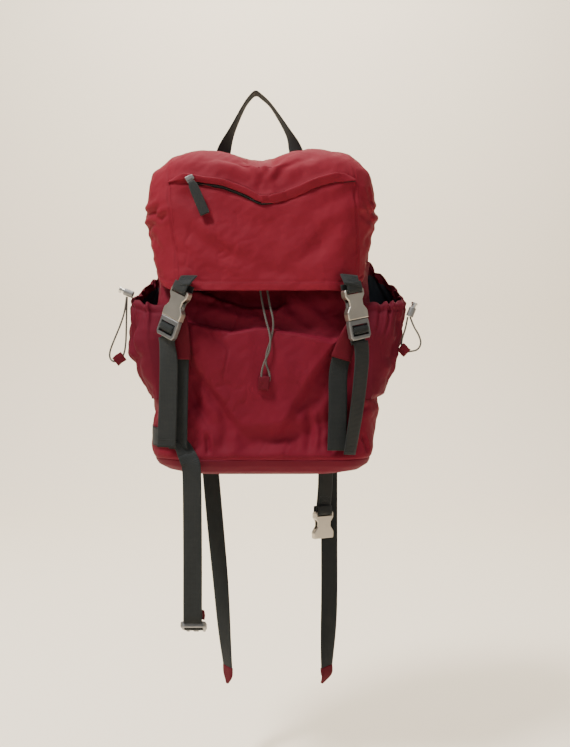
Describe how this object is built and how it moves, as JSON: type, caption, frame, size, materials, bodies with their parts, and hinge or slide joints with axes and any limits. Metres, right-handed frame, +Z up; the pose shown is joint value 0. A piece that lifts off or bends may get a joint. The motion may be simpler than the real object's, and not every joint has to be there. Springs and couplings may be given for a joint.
{
  "type": "hiking backpack",
  "caption": "Crimson top-loading hiking backpack hung by its grab loop, with floating lid, buckled straps, drawcord side pockets and padded shoulder straps.",
  "frame": {"origin": "where the grab loop's inner top rests on its hook", "axes": "+Z up, -Y out of the front of the bag, +X to the right seen from the front"},
  "size_m": [0.436, 0.2037, 0.8976],
  "materials": {
    "red_fabric": "matt crimson nylon, softly creased",
    "back_fabric": "same crimson nylon over padding",
    "foam": "closed-cell foam sheet",
    "webbing": "ribbed dark grey-green webbing",
    "zip_tape": "dark coil zip",
    "red_binding": "folded crimson binding",
    "cord": "braided grey-brown cord",
    "satin_nickel": "satin nickel casting",
    "dark_nickel": "dull grey metal",
    "silver_metal": "polished silver metal"
  },
  "bodies": {
    "root": {"main_bag": "red_fabric", "bottom_panel": "red_fabric", "collar": "red_fabric", "back_panel": "back_fabric", "back_foam": "foam", "left_pocket": "red_fabric", "right_pocket": "red_fabric", "left_hip_wrap": "webbing", "left_lower_web": "webbing", "right_lower_web": "webbing", "collar_drawcord": "cord", "collar_cord_tab": "red_binding", "collar_cord_lock": "dark_nickel", "left_pocket_cord": "cord", "left_cord_tab": "red_binding", "left_cord_lock": "dark_nickel", "right_pocket_cord": "cord", "right_cord_tab": "red_binding", "right_cord_lock": "dark_nickel"},
    "lid": {"lid": "red_fabric", "zip_tape": "zip_tape", "left_lid_tab": "webbing", "right_lid_tab": "webbing", "left_buckle_socket": "satin_nickel", "right_buckle_socket": "satin_nickel"},
    "zip_slider": {"zip_slider": "silver_metal"},
    "zip_pull": {"zip_pull": "webbing"},
    "grab_loop": {"grab_loop": "webbing"},
    "left_hip": {"left_hip_strap": "webbing", "hip_strap_tip": "red_binding", "hip_buckle_plug": "dark_nickel"},
    "hip_arm_right": {"hip_plug_arm_right": "dark_nickel"},
    "hip_arm_left": {"hip_plug_arm_left": "dark_nickel"},
    "right_hip": {"right_hip_strap": "webbing", "hip_buckle_socket": "satin_nickel"},
    "left_strap": {"left_strap": "webbing", "left_strap_tail": "webbing", "left_buckle_plug": "dark_nickel"},
    "left_arm_right": {"left_plug_arm_right": "dark_nickel"},
    "left_arm_left": {"left_plug_arm_left": "dark_nickel"},
    "left_shoulder": {"left_shoulder_strap": "back_fabric", "left_shoulder_lock": "dark_nickel"},
    "left_shoulder_tail": {"left_shoulder_tail": "webbing", "left_tail_tip": "red_binding"},
    "right_strap": {"right_strap": "webbing", "right_strap_tail": "webbing", "right_buckle_plug": "dark_nickel"},
    "right_arm_right": {"right_plug_arm_right": "dark_nickel"},
    "right_arm_left": {"right_plug_arm_left": "dark_nickel"},
    "right_shoulder": {"right_shoulder_strap": "back_fabric", "right_shoulder_lock": "dark_nickel"},
    "right_shoulder_tail": {"right_shoulder_tail": "webbing", "right_tail_tip": "red_binding"},
    "collar_plunger": {"collar_lock_plunger": "silver_metal"},
    "left_plunger": {"left_lock_plunger": "silver_metal"},
    "right_plunger": {"right_lock_plunger": "silver_metal"}
  },
  "joints": [
    {"name": "lid_hinge", "type": "hinge", "parent": "root", "child": "lid", "pos_m": [0.011, -0.002, -0.106], "axis": [-1, 0, 0], "range_deg": [0, 70]},
    {"name": "zip_slide", "type": "hinge", "parent": "lid", "child": "zip_slider", "pos_m": [0.025, -0.152, 0.0055], "axis": [0, -1, 0], "range_deg": [0, 64]},
    {"name": "zip_pull_swing", "type": "hinge", "parent": "zip_slider", "child": "zip_pull", "pos_m": [-0.08054, -0.158, -0.16831], "axis": [0, -1, 0], "range_deg": [-90, 30]},
    {"name": "grab_loop_fold", "type": "hinge", "parent": "root", "child": "grab_loop", "pos_m": [0.007, 0.007, -0.126], "axis": [-1, 0, 0], "range_deg": [0, 80]},
    {"name": "left_strap_swing", "type": "hinge", "parent": "root", "child": "left_strap", "pos_m": [-0.088, -0.1436, -0.524], "axis": [1, 0, 0], "range_deg": [0, 75]},
    {"name": "right_strap_swing", "type": "hinge", "parent": "root", "child": "right_strap", "pos_m": [0.107, -0.1436, -0.524], "axis": [1, 0, 0], "range_deg": [0, 75]},
    {"name": "left_hip_swing", "type": "hinge", "parent": "root", "child": "left_hip", "pos_m": [-0.084, -0.1462, -0.528], "axis": [-1, 0, 0], "range_deg": [0, 60]},
    {"name": "right_hip_swing", "type": "hinge", "parent": "root", "child": "right_hip", "pos_m": [0.106, 0.0035, -0.558], "axis": [-1, 0, 0], "range_deg": [0, 60]},
    {"name": "left_shoulder_swing", "type": "hinge", "parent": "root", "child": "left_shoulder", "pos_m": [-0.012, 0.012, -0.138], "axis": [1, 0, 0], "range_deg": [0, 38]},
    {"name": "left_tail_swing", "type": "hinge", "parent": "left_shoulder", "child": "left_shoulder_tail", "pos_m": [-0.083, 0.0165, -0.428], "axis": [1, 0, 0], "range_deg": [0, 60]},
    {"name": "right_shoulder_swing", "type": "hinge", "parent": "root", "child": "right_shoulder", "pos_m": [0.04, 0.012, -0.138], "axis": [1, 0, 0], "range_deg": [0, 38]},
    {"name": "right_tail_swing", "type": "hinge", "parent": "right_shoulder", "child": "right_shoulder_tail", "pos_m": [0.111, 0.0165, -0.428], "axis": [1, 0, 0], "range_deg": [0, 60]},
    {"name": "left_arm_right_squeeze", "type": "hinge", "parent": "left_strap", "child": "left_arm_right", "pos_m": [-0.09679, -0.16172, -0.35334], "axis": [-0.5747, -0.8149, 0.0754], "range_deg": [0, 8], "stiffness_Nm_per_rad": 0.05},
    {"name": "left_arm_left_squeeze", "type": "hinge", "parent": "left_strap", "child": "left_arm_left", "pos_m": [-0.11212, -0.15017, -0.34532], "axis": [-0.5747, -0.8149, 0.0754], "range_deg": [-8, 0], "stiffness_Nm_per_rad": 0.05},
    {"name": "right_arm_right_squeeze", "type": "hinge", "parent": "right_strap", "child": "right_arm_right", "pos_m": [0.14745, -0.14838, -0.34857], "axis": [0.5563, -0.8308, 0.0165], "range_deg": [0, 8], "stiffness_Nm_per_rad": 0.05},
    {"name": "right_arm_left_squeeze", "type": "hinge", "parent": "right_strap", "child": "right_arm_left", "pos_m": [0.13056, -0.15977, -0.35278], "axis": [0.5563, -0.8308, 0.0165], "range_deg": [-8, 0], "stiffness_Nm_per_rad": 0.05},
    {"name": "hip_arm_right_squeeze", "type": "hinge", "parent": "left_hip", "child": "hip_arm_right", "pos_m": [-0.0894, -0.118, -0.76969], "axis": [0, -0.4383, -0.8988], "range_deg": [0, 8], "stiffness_Nm_per_rad": 0.05},
    {"name": "hip_arm_left_squeeze", "type": "hinge", "parent": "left_hip", "child": "hip_arm_left", "pos_m": [-0.0686, -0.118, -0.76969], "axis": [0, -0.4383, -0.8988], "range_deg": [-8, 0], "stiffness_Nm_per_rad": 0.05},
    {"name": "collar_lock_press", "type": "slide", "parent": "root", "child": "collar_plunger", "axis": [-1, 0, 0], "range_m": [0, 0.003], "stiffness_N_per_m": 300},
    {"name": "left_lock_press", "type": "slide", "parent": "root", "child": "left_plunger", "axis": [0.9285, 0, -0.3714], "range_m": [0, 0.003], "stiffness_N_per_m": 300},
    {"name": "right_lock_press", "type": "slide", "parent": "root", "child": "right_plunger", "axis": [-0.3714, 0, -0.9285], "range_m": [0, 0.003], "stiffness_N_per_m": 300}
  ],
  "couplings": [
    {"joint": "left_arm_left_squeeze", "follows": "left_arm_right_squeeze", "ratio": -1},
    {"joint": "right_arm_left_squeeze", "follows": "right_arm_right_squeeze", "ratio": -1},
    {"joint": "hip_arm_left_squeeze", "follows": "hip_arm_right_squeeze", "ratio": -1}
  ]
}
